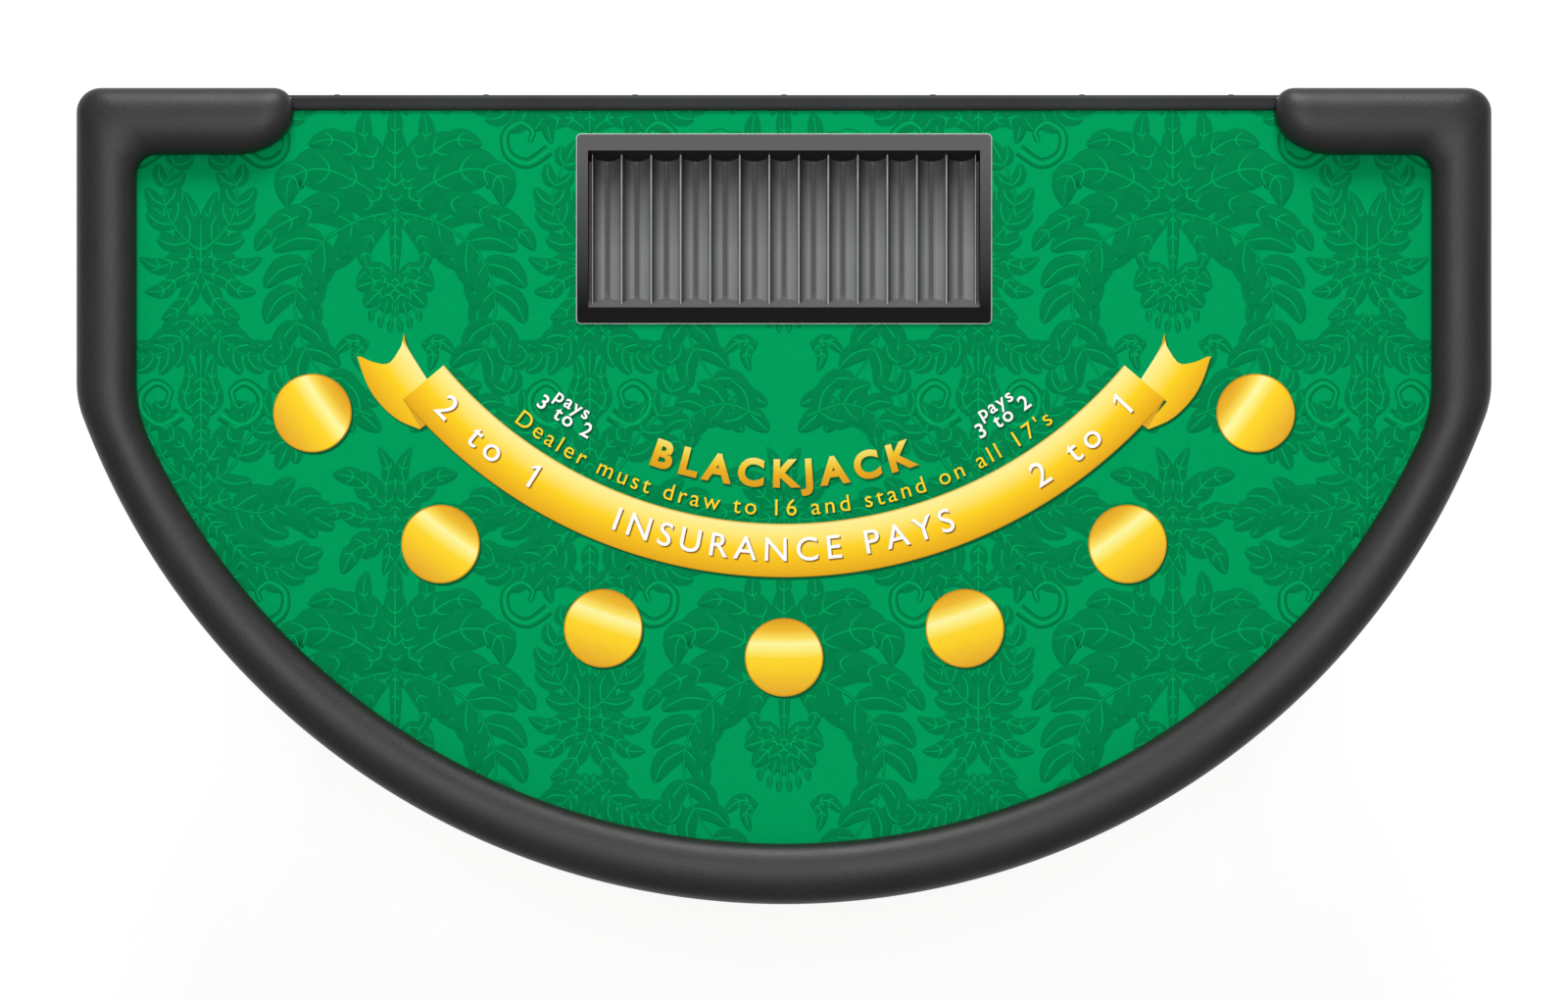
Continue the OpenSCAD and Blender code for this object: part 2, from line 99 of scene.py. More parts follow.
class Value:
    """One output in a material's node tree. Sums on it add the nodes that work them out."""

    def __init__(self, finish, socket):
        self.finish, self.socket = finish, socket

    def math(self, operation, *others):
        links = {0: self}
        links.update({i + 1: other for i, other in enumerate(others)})
        return self.finish.add("Math", {"operation": operation}, links)

    def __add__(self, other):
        return self.math("ADD", other)

    def __sub__(self, other):
        return self.math("SUBTRACT", other)

    def __mul__(self, other):
        return self.math("MULTIPLY", other)

    def __truediv__(self, other):
        return self.math("DIVIDE", other)

    def __rsub__(self, other):
        return self.finish.add("Math", {"operation": "SUBTRACT"}, {0: other, 1: self})

    __radd__, __rmul__ = __add__, __mul__


class Finish:
    """A material: one Principled shader, with fixed values on it and nodes that vary over the surface."""

    def __init__(self, name, **fixed):
        self.material = bpy.data.materials.new(name)
        self.material.use_nodes = True
        self.tree = self.material.node_tree
        self.shader = self.tree.nodes["Principled BSDF"]
        for socket, value in fixed.items():
            self.shader.inputs[socket.replace("_", " ")].default_value = value
        self.place = self.add("TexCoord", out="Object")

    def add(self, kind, settings=None, links=None, out=0):
        node = self.tree.nodes.new("ShaderNode" + kind)
        for name, value in (settings or {}).items():
            if name == "stops":
                ramp = node.color_ramp.elements
                while len(ramp) < len(value):
                    ramp.new(0.5)
                for stop, (position, colour) in zip(ramp, value):
                    stop.position, stop.color = position, colour
            else:
                setattr(node, name, value)
        for name, value in (links or {}).items():
            if isinstance(value, Value):
                self.tree.links.new(value.socket, node.inputs[name])
            else:
                node.inputs[name].default_value = value
        return Value(self, node.outputs[out])

    def scaled(self, x, y, z):
        """The object's own coordinates, stretched per axis."""
        return self.add("VectorMath", {"operation": "MULTIPLY"}, {0: self.place, 1: (x, y, z)})

    def noise(self, scale, detail=3.0, where=None, roughness=0.5):
        return self.add("TexNoise", {}, {"Vector": where or self.place, "Scale": scale,
                                         "Detail": detail, "Roughness": roughness})

    def ramp(self, value, *stops):
        return self.add("ValToRGB", {"stops": stops}, {0: value})

    def mix(self, factor, a, b):
        return self.add("Mix", {"data_type": "RGBA"}, {0: factor, 6: a, 7: b}, out=2)

    def feed(self, socket, value):
        self.tree.links.new(value.socket, self.shader.inputs[socket])
        return self

    def bump(self, height, depth, strength=1.0):
        """Feed Normal from a height that varies from 0 to 1 over depth metres."""
        bumps = {"Height": height, "Distance": depth, "Strength": strength}
        return self.feed("Normal", self.add("Bump", {}, bumps, out="Normal"))


def ink(code, alpha=1.0):
    """A colour from its six-digit display code, as linear light."""
    parts = [int(code[i:i + 2], 16) / 255 for i in (0, 2, 4)]
    return tuple(p / 12.92 if p <= 0.04045 else ((p + 0.055) / 1.055) ** 2.4 for p in parts) + (alpha,)


def dress(nodes, finish, edge=0.0):
    """Put a finish on CAD nodes, and round their edges by edge metres."""
    for name in nodes:
        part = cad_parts[name]
        if not part.material_slots:
            part.data.materials.append(finish.material)
        for slot in part.material_slots:
            slot.material = finish.material
        if edge:
            weld = part.modifiers.new("weld", "WELD")
            weld.merge_threshold = 1e-6
            bevel = part.modifiers.new("edges", "BEVEL")
            bevel.width, bevel.segments = edge, 2
            bevel.limit_method, bevel.angle_limit = "ANGLE", math.radians(40)
            even = part.modifiers.new("even_shading", "WEIGHTED_NORMAL")
            even.keep_sharp, even.weight = True, 100


birch = Finish("birch_plywood", Roughness=0.6)
plies = birch.noise(1.0, 2, birch.scaled(3, 3, 620))
grain = birch.noise(9.0, 6, birch.scaled(0.5, 9, 6), 0.62)
veneer = birch.ramp(grain, (0.3, ink("B98F5C")), (0.7, ink("D8B482")))
bare = birch.mix(plies * 0.55, veneer, ink("7A5836"))
facing = birch.add("NewGeometry", out="Normal")
level = birch.add("SeparateXYZ", {}, {0: facing}, out="Z").math("ABSOLUTE")
height = birch.add("SeparateXYZ", {}, {0: birch.place}, out="Z")
above_deck = height.math("GREATER_THAN", CLOTH_Z - 0.001)
painted = level.math("LESS_THAN", 0.5).math("MAXIMUM", above_deck)
birch.feed("Base Color", birch.mix(painted, bare, ink("151516")))
birch.feed("Roughness", 0.5 + grain * 0.3).bump(grain, 0.0003)
dress(["deck", "rail_base"], birch, 0.0008)

# Underlay: a thin sheet of closed-cell foam glued over the deck, so that cards slide
# and lift easily. Only its cut edge shows round the tray's opening.
foam_sheet = Finish("closed_cell_foam", Roughness=0.95)
cells = foam_sheet.noise(900.0, 2)
foam_sheet.feed("Base Color", foam_sheet.ramp(cells, (0.35, ink("26272A")), (0.7, ink("3A3B3E"))))
foam_sheet.bump(cells, 0.0002)
dress(["underlay"], foam_sheet)

# Layout cloth: one sheet of tightly woven polyester, pulled flat over the underlay
# and stapled under the armrest. The ground colour is dyed in the weave.
HALF_W, HALF_D = 1.04, 0.60
FRONT_R, BEND_R, CORNER_R = 1.10, 0.15, 0.036
front_c = (0.0, FRONT_R - HALF_D)
bend_c = (HALF_W - BEND_R,
          front_c[1] - math.sqrt((FRONT_R - BEND_R) ** 2 - (HALF_W - BEND_R) ** 2))
bend_a = math.degrees(math.atan2(bend_c[1] - front_c[1], bend_c[0]))
corner_c = (HALF_W - CORNER_R, HALF_D - CORNER_R)


def arc(centre, r, a0, a1, n):
    """n + 1 points from angle a0 to a1, in degrees."""
    return [(centre[0] + r * math.cos(math.radians(a0 + (a1 - a0) * i / n)),
             centre[1] + r * math.sin(math.radians(a0 + (a1 - a0) * i / n))) for i in range(n + 1)]


def outline(inset, n=40):
    """The table's plan, drawn in by inset, all the way round."""
    half = (arc(front_c, FRONT_R - inset, -90, bend_a, n)
            + arc(bend_c, BEND_R - inset, bend_a, 0, 6)
            + arc(corner_c, CORNER_R - inset, 0, 90, 6))
    return half + [(-x, y) for x, y in reversed(half[1:])]


def piece(name, verts, faces, finish, body, smooth=True):
    """A mesh object that rides on a body."""
    mesh = bpy.data.meshes.new(name)
    mesh.from_pydata(verts, [], faces)
    mesh.update()
    mesh.materials.append(finish.material)
    mesh.polygons.foreach_set("use_smooth", [smooth] * len(mesh.polygons))
    made = bpy.data.objects.new(name, mesh)
    bpy.context.collection.objects.link(made)
    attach(made, body)
    return made


def filled(name, loops, z, finish, body, thick=0.0):
    """A flat piece bounded by closed loops, later ones being holes. It hangs thick metres below z."""
    mesh = bpy.data.meshes.new(name)
    build = bmesh.new()
    for loop in loops:
        corners = [build.verts.new((x, y, z)) for x, y in loop]
        for i, corner in enumerate(corners):
            build.edges.new((corner, corners[(i + 1) % len(corners)]))
    bmesh.ops.triangle_fill(build, use_beauty=True, edges=build.edges[:], normal=(0, 0, 1))
    bmesh.ops.recalc_face_normals(build, faces=build.faces[:])
    if build.faces and sum(f.normal.z * f.calc_area() for f in build.faces) < 0:
        bmesh.ops.reverse_faces(build, faces=build.faces[:])
    if thick:
        top = build.faces[:]
        made = bmesh.ops.extrude_face_region(build, geom=top)
        low = [v for v in made["geom"] if isinstance(v, bmesh.types.BMVert)]
        bmesh.ops.translate(build, verts=low, vec=(0, 0, -thick))
        bmesh.ops.recalc_face_normals(build, faces=build.faces[:])
    build.to_mesh(mesh)
    build.free()
    mesh.materials.append(finish.material)
    made = bpy.data.objects.new(name, mesh)
    bpy.context.collection.objects.link(made)
    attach(made, body)
    return made


def rectangle(x0, y0, x1, y1):
    return [(x0, y0), (x1, y0), (x1, y1), (x0, y1)]


TRAY_HALF, TRAY_Y, TRAY_GAP = (0.289, 0.1155), 0.3936, 0.004
cutout = rectangle(-TRAY_HALF[0] - TRAY_GAP, TRAY_Y - TRAY_HALF[1] - TRAY_GAP,
                   TRAY_HALF[0] + TRAY_GAP, TRAY_Y + TRAY_HALF[1] + TRAY_GAP)

felt = Finish("woven_layout_cloth", Roughness=0.9, Specular_IOR_Level=0.02)
warp, weft = (felt.add("TexWave", {"wave_type": "BANDS", "bands_direction": axis},
                       {"Vector": felt.place, "Scale": 260.0}) for axis in ("X", "Y"))
fuzz = felt.noise(55.0, 5, roughness=0.7)
weave = warp * 0.25 + weft * 0.25 + fuzz * 0.5
felt.feed("Base Color", felt.ramp(weave, (0.25, ink("009857")), (0.75, ink("00A35F"))))
felt.bump(weave, 0.00015)
CLOTH_INSET, CLOTH_THICK = 0.015, 0.0015
cloth = filled("playing_cloth", [outline(CLOTH_INSET), cutout], CLOTH_Z, felt, "table_top",
               CLOTH_THICK)
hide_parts("layout_cloth")

# Armrest: a roll of foam on the plywood base with black grained vinyl pulled round it
# and stapled underneath. It runs round the players' side and turns in at both ends.
RAIL_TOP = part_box("rail_cover")[1][2]
RAIL_WAIST = CLOTH_Z + 0.013
INNER_W, INNER_R, INNER_BEND_R, INNER_CORNER_R = 0.952, 1.03, 0.2, 0.03
FRONT_WIDTH, RETURN_WIDTH = 0.089, 0.098
inner_c = (0.0, INNER_R + FRONT_WIDTH - HALF_D)
inner_bend_c = (INNER_W - INNER_BEND_R,
                inner_c[1] - math.sqrt((INNER_R - INNER_BEND_R) ** 2 - (INNER_W - INNER_BEND_R) ** 2))
inner_bend_a = math.degrees(math.atan2(inner_bend_c[1] - inner_c[1], inner_bend_c[0]))
RETURN_Y = HALF_D - RETURN_WIDTH
inner_corner_c = (INNER_W - INNER_CORNER_R, RETURN_Y - INNER_CORNER_R)
TIP_X, TIP_R, NOSE = 0.722, 0.028, (0.086, 0.060)


def between(a, b, n):
    """n + 1 points along a straight line."""
    return [(a[0] + (b[0] - a[0]) * i / n, a[1] + (b[1] - a[1]) * i / n) for i in range(n + 1)]


def rail_edges():
    """Matching points on the outer and inner edges, from the middle of the front to one tip."""
    outer = arc(front_c, FRONT_R, -90, bend_a, 70)
    inner = arc(inner_c, INNER_R, -90, inner_bend_a, 70)
    outer += arc(bend_c, BEND_R, bend_a, 0, 14)[1:]
    inner += arc(inner_bend_c, INNER_BEND_R, inner_bend_a, 0, 14)[1:]
    outer += between(outer[-1], (HALF_W, corner_c[1]), 16)[1:]
    inner += between(inner[-1], (INNER_W, inner_corner_c[1]), 16)[1:]
    outer += arc(corner_c, CORNER_R, 0, 90, 10)[1:]
    inner += arc(inner_corner_c, INNER_CORNER_R, 0, 90, 10)[1:]
    nose_x = TIP_X + NOSE[0]
    outer += between(outer[-1], (nose_x, HALF_D), 8)[1:]
    inner += between(inner[-1], (nose_x, RETURN_Y), 8)[1:]
    for i in range(1, 17):
        x = nose_x - NOSE[0] * math.sin(i / 16 * math.pi / 2)
        back = max(TIP_X + TIP_R - x, 0.0)
        outer.append((x, HALF_D - TIP_R + math.sqrt(max(TIP_R ** 2 - back ** 2, 0.0))))
        drop = math.sqrt(max(1 - ((nose_x - x) / NOSE[0]) ** 2, 0.0))
        inner.append((x, RETURN_Y + NOSE[1] - NOSE[1] * drop))
    return list(zip(outer, inner))


def armrest_mesh():
    """The roll's crowned section, carried from tip to tip, lower at the tips and tucked in at its foot."""
    half = rail_edges()
    pairs = [((-o[0], o[1]), (-i[0], i[1])) for o, i in reversed(half[1:])] + half
    across, verts, faces = 22, [], []
    tip_top, tip_run, deepest_tuck, edge_tuck = 0.006, 0.05, 0.006, 0.0022
    foot_z, edge_z = CLOTH_Z + 0.0008, CLOTH_Z + 0.006
    for (ox, oy), (ix, iy) in pairs:
        from_tip = abs(ox) - TIP_X if oy > 0.4 else 1.0
        rise = math.sqrt(1 - (1 - min(max(from_tip, 0.0) / tip_run, 1.0)) ** 2)
        top = tip_top + (RAIL_TOP - RAIL_WAIST - tip_top) * rise
        span = math.hypot(ox - ix, oy - iy)
        tuck = min(deepest_tuck, span * 0.3)
        ring = [(tuck / span, foot_z), (edge_tuck / span, edge_z)]
        for k in range(across + 1):
            a = math.pi * k / across
            ring.append(((1 - math.cos(a)) / 2, RAIL_WAIST + top * math.sin(a) ** 0.82))
        ring += [(1 - edge_tuck / span, edge_z), (1 - tuck / span, foot_z)]
        verts += [(ox + (ix - ox) * u, oy + (iy - oy) * u, z) for u, z in ring]
    n = across + 5
    for s in range(len(pairs) - 1):
        for k in range(n):
            a, b = s * n + k, s * n + (k + 1) % n
            faces.append((a, a + n, b + n, b))
    faces.append(tuple(range(n)))
    faces.append(tuple(reversed(range((len(pairs) - 1) * n, len(pairs) * n))))
    return verts, faces


vinyl = Finish("black_grained_vinyl", Roughness=0.42, Specular_IOR_Level=0.5)
pores = vinyl.add("TexVoronoi", {"feature": "F1"}, {"Vector": vinyl.place, "Scale": 620.0},
                  out="Distance")
creases = vinyl.noise(240.0, 4, roughness=0.65)
smudge = vinyl.noise(7.0, 3)
vinyl.feed("Base Color", vinyl.ramp(creases * 0.6 + smudge * 0.4,
                                    (0.35, ink("161415")), (0.75, ink("262324"))))
vinyl.feed("Roughness", 0.36 + smudge * 0.14 + creases * 0.06)
vinyl.bump(pores * 0.6 + creases * 0.4, 0.0004, 0.7)
armrest = piece("armrest_pad", *armrest_mesh(), vinyl, "table_top")
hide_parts("rail_cover", "rail_foam")

# Damask: a raised tone-on-tone figure woven into the cloth. Two motifs, a palmette with
# a hanging blossom and a star of leaves over a bud, repeat in alternate columns.
# The figure's tones also hold painted light and shade: painted highlights on stems, veins, ribs and one rim
# of each leaf, painted shade on the other rim.
REPEAT_X, REPEAT_Y = 0.573, 0.677
PALMETTE_Y, STAR_DROP = 0.424, 0.091
FIGURE_Z = CLOTH_Z + 0.0001
LAYER_STEP = 0.0015


def through(points, n):
    """n + 1 points on a smooth line through the given ones."""
    ends = [points[0]] + list(points) + [points[-1]]
    line = []
    for i in range(n + 1):
        s = i / n * (len(points) - 1)
        k = min(int(s), len(points) - 2)
        t = s - k
        p = ends[k:k + 4]
        line.append([0.5 * (2 * p[1][d] + (p[2][d] - p[0][d]) * t
                            + (2 * p[0][d] - 5 * p[1][d] + 4 * p[2][d] - p[3][d]) * t * t
                            + (3 * p[1][d] - p[0][d] - 3 * p[2][d] + p[3][d]) * t ** 3) for d in (0, 1)])
    return line


class Motif:
    """Half a figure, in millimetres about its own middle: leaves and stems, each a strip.

    A strip's section lists, from one edge to the other, the place across, the tone from
    dark to light, and the lift above the strip's own layer. The tone is partly the
    figure's own colour and partly painted light and shade on the raised strip.
    """

    def __init__(self):
        self.verts, self.faces, self.tones, self.layer = [], [], [], 0
        self.centre_faces = set()

    def strip(self, line, widths, section):
        self.layer += 1
        base, n = len(self.verts), len(section)
        for i, (x, y) in enumerate(line):
            a, b = line[max(i - 1, 0)], line[min(i + 1, len(line) - 1)]
            run = math.hypot(b[0] - a[0], b[1] - a[1]) or 1.0
            nx, ny = (a[1] - b[1]) / run, (b[0] - a[0]) / run
            for v, tone, lift in section:
                self.verts.append((x + nx * widths[i] * v, y + ny * widths[i] * v,
                                   lift + self.layer * LAYER_STEP))
                self.tones.append(tone)
        for i in range(len(line) - 1):
            for k in range(n - 1):
                a = base + i * n + k
                self.faces.append((a, a + 1, a + n + 1, a + n))

    def middle_leaf(self, points, width, **shape):
        """A leaf on the motif's own line of symmetry, which the mirrored half leaves out."""
        first = len(self.faces)
        self.leaf(points, width, **shape)
        self.centre_faces.update(range(first, len(self.faces)))

    def stem(self, points, width, n=14):
        line = through(points, n)
        widths = [width * (1 - 0.6 * i / n) for i in range(n + 1)]
        # Painted shade at both edges and a painted highlight along the stem's crown.
        self.strip(line, widths, [(-1.3, 0.0, 0.0), (-0.8, 0.5, 0.2), (0, 0.95, 0.35), (0.8, 0.5, 0.2),
                                  (1.3, 0.0, 0.0)])

    def leaf(self, points, width, waves=0, ribs=0, full=0.8):
        """A leaf with waves lobes on each side and pairs of ribs. A larger full moves its belly outwards."""
        n = 12 if not waves else 6 * waves
        line = through(points, n)
        widths = []
        for i in range(n + 1):
            t = i / n
            scallop = 1 - 0.3 * (1 - abs(math.sin(waves * math.pi * t))) ** 1.6 if waves else 1
            belly = math.sin(math.pi * min(max(t, 0.02), 0.985) ** full) ** 0.62
            widths.append(max(width * belly * scallop, 0.4))
        rim = min(1.6 / width, 0.3)
        vein = min(2.0 / width, 0.2)
        # Painted highlight on one rim and the mid-vein, painted shade on the other rim; the fill between is
        # the leaf's own tone.
        self.strip(line, widths, [(-1, 0.8, 0.0), (-1 + rim, 0.5, 0.3), (-vein, 0.42, 0.25), (0, 1.0, 0.15),
                                  (vein, 0.5, 0.25), (1 - rim, 0.5, 0.3), (1, 0.0, 0.0)])
        for k in range(ribs):
            at = (k + 1) / (ribs + 1.5)
            i = int(at * n)
            (x, y), (x2, y2) = line[i], line[min(i + 2, n)]
            run = math.hypot(x2 - x, y2 - y) or 1.0
            tx, ty = (x2 - x) / run, (y2 - y) / run
            reach = widths[i] * 0.74
            for side in (-1, 1):
                mid, tip = [(x + tx * reach * on - ty * reach * out * side,
                             y + ty * reach * on + tx * reach * out * side)
                            for on, out in ((0.25, 0.5), (0.9, 1.0))]
                rib = through([(x, y), mid, tip], 4)
                # Painted highlight along the rib's crest.
                self.strip(rib, [1.5, 1.3, 1.1, 0.8, 0.2],
                           [(-1, 0.7, 0.3), (0, 1.0, 0.42), (1, 0.7, 0.3)])

    def spray(self, points, length, width, count, lean=0.9, sides=(-1, 1), taper=0.45):
        """A stem with leaves along it."""
        self.stem(points, 2.4)
        line = through(points, 40)
        for k in range(count):
            at = (k + 0.7) / count
            i = min(int(at * 40), 39)
            (x, y), (x2, y2) = line[i], line[i + 1]
            along = math.atan2(y2 - y, x2 - x)
            step = length * (1 - taper * at) * 0.5
            for side in sides:
                turn = along + side * lean
                bend = turn - side * 0.55
                knee = (x + step * math.cos(turn), y + step * math.sin(turn))
                tip = (knee[0] + step * math.cos(bend), knee[1] + step * math.sin(bend))
                self.leaf([(x, y), knee, tip], width * (1 - taper * 0.6 * at))
        (ex, ey), before = line[-1], line[-4]
        along = math.atan2(ey - before[1], ex - before[0])
        self.leaf([(ex + length * part * math.cos(along), ey + length * part * math.sin(along))
                   for part in (0.0, 0.3, 0.6)], width * 0.8)


palmette = Motif()
palmette.spray([(8, -6), (60, -20), (116, -58), (146, -120), (142, -184), (108, -246), (62, -292)],
               90, 20, 9, lean=0.86)
palmette.leaf([(4, 0), (72, 10), (134, -8), (184, -34), (206, -62)], 22, waves=4, ribs=5)
palmette.leaf([(4, 2), (52, 36), (108, 58), (154, 44), (160, 4)], 34, waves=3, ribs=5)
palmette.leaf([(3, 4), (34, 60), (84, 100), (128, 94)], 23, waves=3, ribs=4)
palmette.leaf([(2, 4), (22, 60), (46, 106), (42, 142)], 18, waves=3, ribs=3)
palmette.leaf([(3, -8), (30, -34), (46, -66), (34, -100)], 13, ribs=3)
palmette.leaf([(2, -104), (24, -88), (44, -94), (56, -108)], 9, ribs=2)
for turn, size in ((math.radians(-16), 58), (math.radians(-46), 62), (math.radians(-76), 56)):
    palmette.leaf([(2 + size * part * math.cos(turn), -100 + size * part * math.sin(turn))
                   for part in (0.0, 0.5, 1.0)], 14, ribs=2, full=1.35)
for x, y in ((6, -172), (20, -166), (34, -156)):
    palmette.stem([(x * 0.6, -140), (x, y)], 2.2, 6)
    palmette.leaf([(x, y + 6), (x + 1, y - 2), (x + 2, y - 11)], 5)
palmette.middle_leaf([(0, 0), (0, 66), (0, 152)], 20, waves=4, ribs=5)
palmette.middle_leaf([(0, -94), (0, -120), (0, -158)], 13, ribs=2, full=1.3)
palmette.middle_leaf([(0, -4), (0, -50), (0, -104)], 9, ribs=3)
palmette.leaf([(40, -196), (56, -214), (50, -240)], 9, ribs=2)
palmette.leaf([(44, -200), (66, -196), (88, -214)], 10, ribs=2)
palmette.spray([(34, -306), (88, -288), (134, -306), (158, -350)], 62, 15, 5)
palmette.leaf([(3, -448), (30, -424), (56, -398), (92, -392)], 20, waves=3, ribs=4)
palmette.leaf([(3, -454), (42, -458), (78, -446), (112, -458)], 17, waves=3, ribs=4)
palmette.leaf([(3, -460), (28, -490), (60, -504), (78, -538)], 21, waves=3, ribs=4)
palmette.leaf([(2, -446), (14, -414), (10, -384), (24, -352)], 13, waves=2, ribs=3)
palmette.leaf([(2, -464), (10, -488), (8, -512), (18, -540)], 12, waves=2, ribs=3)
palmette.middle_leaf([(0, -430), (0, -454), (0, -486)], 12, ribs=2)

star = Motif()
star.leaf([(3, 4), (34, 36), (50, 74), (80, 98)], 19, waves=3, ribs=4)
star.leaf([(3, 3), (18, 40), (12, 78), (24, 116)], 14, waves=2, ribs=3)
star.leaf([(3, 0), (36, 12), (62, 4), (90, 18)], 15, waves=2, ribs=3)
star.leaf([(3, -3), (34, -12), (54, -30), (82, -32)], 15, waves=2, ribs=3)
star.leaf([(2, -4), (16, -36), (34, -60), (58, -72)], 15, waves=2, ribs=3)
star.spray([(2, -66), (30, -100), (62, -124), (96, -126)], 54, 13, 5)
star.spray([(8, -96), (-22, -74), (-40, -82)], 26, 8, 3)
star.spray([(6, -318), (46, -290), (70, -246), (100, -214), (122, -174), (120, -128)], 56, 14, 6)
star.stem([(30, -212), (58, -228), (84, -212), (88, -184), (66, -166), (46, -178), (50, -196)], 8, 26)
star.leaf([(46, -194), (57, -203), (70, -194)], 10)
star.leaf([(4, -296), (26, -258), (52, -238), (46, -202)], 20, waves=3, ribs=4)
star.leaf([(10, -214), (24, -190), (16, -158), (22, -126)], 11, ribs=3)
star.middle_leaf([(0, -150), (0, -190), (0, -236)], 20, waves=3, ribs=4)
star.middle_leaf([(0, -226), (0, -262), (0, -310)], 16, waves=3, ribs=4)
star.middle_leaf([(0, -106), (0, -126), (0, -160)], 9)
star.spray([(36, -346), (84, -358), (128, -346), (160, -360)], 70, 18, 5)
star.spray([(30, -384), (66, -424), (110, -440), (146, -428)], 62, 17, 5)
star.leaf([(10, -372), (40, -392), (62, -424), (54, -470)], 19, waves=3, ribs=4)
star.leaf([(6, -470), (32, -452), (60, -462), (56, -490)], 15, ribs=2)
star.stem([(60, -500), (92, -520), (120, -506), (124, -476), (102, -460), (84, -472), (88, -488)], 7, 26)
star.middle_leaf([(0, -350), (0, -322), (0, -304)], 25, ribs=2, full=1.25)
for turn in (math.radians(18), math.radians(-54)):
    x, y = 46 * math.cos(turn), 46 * math.sin(turn)
    star.leaf([(0, -350), (x * 0.6, -350 + y * 0.6), (x, -350 + y)], 25, ribs=2, full=1.25)
star.middle_leaf([(0, -404), (0, -436), (0, -478)], 14, waves=2, ribs=3)
star.middle_leaf([(0, 4), (0, 30), (0, 70)], 11, ribs=2)
star.spray([(6, 30), (42, 68), (54, 116), (34, 162)], 52, 13, 5)


STRIP_EDGE_Y, UNDER_RAIL, TRAY_KEEP = 0.572, 0.012, (0.30, 0.134)


def inside_cloth(x, y):
    """Whether a point is on the open cloth, between the armrest, the edge strip and the tray."""
    if y > STRIP_EDGE_Y or abs(x) > INNER_W + UNDER_RAIL:
        return False
    if y > RETURN_Y + UNDER_RAIL and abs(x) > TIP_X + 0.02:
        return False
    if y < inner_c[1] and math.hypot(x, y - inner_c[1]) > INNER_R + UNDER_RAIL:
        return False
    return abs(x) > TRAY_KEEP[0] or abs(y - TRAY_Y) > TRAY_KEEP[1]


figure_verts, figure_faces, figure_tones = [], [], []
placed = [(motif, column * REPEAT_X, height + row * REPEAT_Y, side)
          for motif, columns, height in ((palmette, (-1, 0, 1), PALMETTE_Y),
                                         (star, (-1.5, -0.5, 0.5, 1.5), PALMETTE_Y - STAR_DROP))
          for column in columns for row in (-1, 0, 1) for side in (-1, 1)]
for motif, mid_x, mid_y, side in placed:
    base = len(figure_verts)
    figure_verts += [(mid_x + side * x / 1000, mid_y + y / 1000, FIGURE_Z + z / 1000)
                     for x, y, z in motif.verts]
    figure_tones += motif.tones
    figure_faces += [tuple(base + i for i in (face if side > 0 else reversed(face)))
                     for at, face in enumerate(motif.faces) if side > 0 or at not in motif.centre_faces]
kept = [face for face in figure_faces if all(inside_cloth(*figure_verts[i][:2]) for i in face)]
used = sorted({i for face in kept for i in face})
renumber = {old: new for new, old in enumerate(used)}
figure = Finish("damask_figure", Roughness=0.85, Specular_IOR_Level=0.03)
tone = figure.add("Attribute", {"attribute_name": "tone"}, out="Fac")
thread = figure.noise(60.0, 4, roughness=0.7)
# Dark end is painted shade, light end painted highlight; the middle stops are the figure's own green.
figure_colour_and_painted_light = figure.ramp(tone, (0.0, ink("005F34")), (0.35, ink("008049")), (0.6, ink("00864C")),
                    (0.8, ink("00A35D")), (1.0, ink("00B267")))
figure.feed("Base Color", figure.mix(thread * 0.16, figure_colour_and_painted_light, ink("006E3C"))).bump(thread, 0.00012)
damask = piece("damask_figure", [figure_verts[i] for i in used],
               [tuple(renumber[i] for i in face) for face in kept], figure, "table_top")
tones = damask.data.attributes.new("tone", "FLOAT", "POINT")
tones.data.foreach_set("value", [figure_tones[i] for i in used])

# Printed layout: gold and white inks laid on the cloth in arcs about one point behind
# the dealer. Seven betting spots lie outside a ribbon, and the rules inside it.
PRINT_C = (0.0, 0.6135)
PRINT_Z = CLOTH_Z + 0.0012
GOLD_RAMP = ((0.0, "D39214"), (0.05, "E2A31C"), (0.16, "F0B926"), (0.27, "FFE463"), (0.33, "FFF9A6"),
             (0.42, "FFEE78"), (0.52, "FFD828"), (0.62, "FFD21C"), (0.84, "F0B823"), (1.0, "E3A21E"))
RIBBON_RAMP = ((0.0, "DDA622"), (0.04, "FFF3A0"), (0.22, "FFEC80"), (0.5, "FFD524"), (0.8, "F2B91F"),
               (0.97, "E5A81B"), (1.0, "C98A10"))


def ink_finish(name, stops, inner=0.0, outer=1.0):
    """Printed ink whose colour runs across the arcs, from the inner radius to the outer one."""
    made = Finish(name, Roughness=0.6, Specular_IOR_Level=0.04)
    parts = made.add("SeparateXYZ", {}, {0: made.place}, out="X")
    across = Value(made, parts.socket.node.outputs["Y"]) - PRINT_C[1]
    radius = (parts * parts + across * across).math("SQRT")
    rub = made.noise(70.0, 4, roughness=0.7)
    inks = [(at, ink(code)) for at, code in stops]
    colour = made.ramp((radius - inner) / (outer - inner), *inks)
    made.feed("Base Color", made.mix(rub * 0.12, colour, ink(stops[len(stops) // 2][1])))
    return made.feed("Roughness", 0.45 + rub * 0.2).bump(rub, 0.0001)


def polar(radius, degrees, lift=0.0):
    """A point at an angle from straight towards the players, about the layout's centre."""
    a = math.radians(degrees)
    return (PRINT_C[0] + radius * math.sin(a), PRINT_C[1] - radius * math.cos(a), PRINT_Z + lift)


